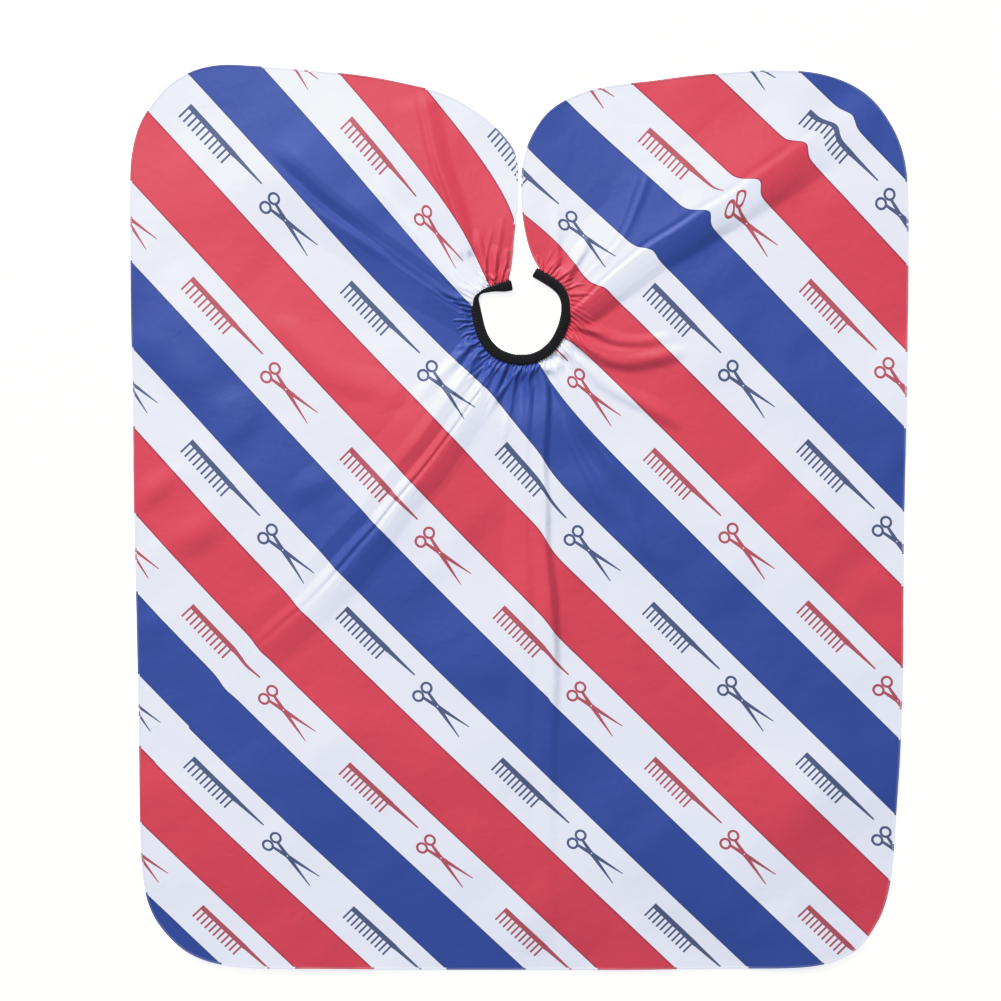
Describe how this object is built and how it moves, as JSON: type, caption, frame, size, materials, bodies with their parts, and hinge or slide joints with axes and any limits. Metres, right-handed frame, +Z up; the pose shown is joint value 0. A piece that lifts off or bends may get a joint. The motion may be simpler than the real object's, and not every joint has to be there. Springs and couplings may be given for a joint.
{
  "type": "barber cape",
  "caption": "Haircutting cape laid flat: large rounded cloth panel with diagonal stripes, slit at the back and a gathered elastic neck binding with a hook and eye.",
  "frame": {"origin": "centre of the cape's laid-out outline, on the surface that it lies on", "axes": "+Z up out of the surface, +Y along the cape's length towards the back slit, X across its width"},
  "size_m": [1.2003, 1.3956, 0.0083],
  "materials": {
    "printed_cloth": "satin polyester with woven-in sheen, printed with diagonal stripes",
    "edge_thread": "fine spun thread",
    "neck_ribbing": "ribbed knit, matt",
    "elastic": "braided, matt",
    "black_thread": "spun thread",
    "closure_steel": "bright wire"
  },
  "bodies": {
    "cape": {"main_panel": "printed_cloth", "main_edge_overlock": "edge_thread", "neck_binding": "neck_ribbing", "neck_elastic": "elastic", "neck_seam_stitches": "black_thread"},
    "left_flap": {"left_back_panel": "printed_cloth", "left_edge_overlock": "edge_thread", "left_binding_end": "neck_ribbing", "left_elastic_end": "elastic", "left_seam_stitches": "black_thread", "closure_hook": "closure_steel", "hook_stitches": "black_thread"},
    "right_flap": {"right_back_panel": "printed_cloth", "right_edge_overlock": "edge_thread", "right_binding_end": "neck_ribbing", "right_elastic_end": "elastic", "right_seam_stitches": "black_thread", "closure_eye": "closure_steel", "eye_stitches": "black_thread"}
  },
  "joints": [
    {"name": "left_flap_fold", "type": "hinge", "parent": "cape", "child": "left_flap", "pos_m": [-0.3, 0.3, 0.01], "axis": [1, 0, 0], "range_deg": [0, 165]},
    {"name": "right_flap_fold", "type": "hinge", "parent": "cape", "child": "right_flap", "pos_m": [0.3, 0.3, 0.01], "axis": [1, 0, 0], "range_deg": [0, 165]}
  ]
}
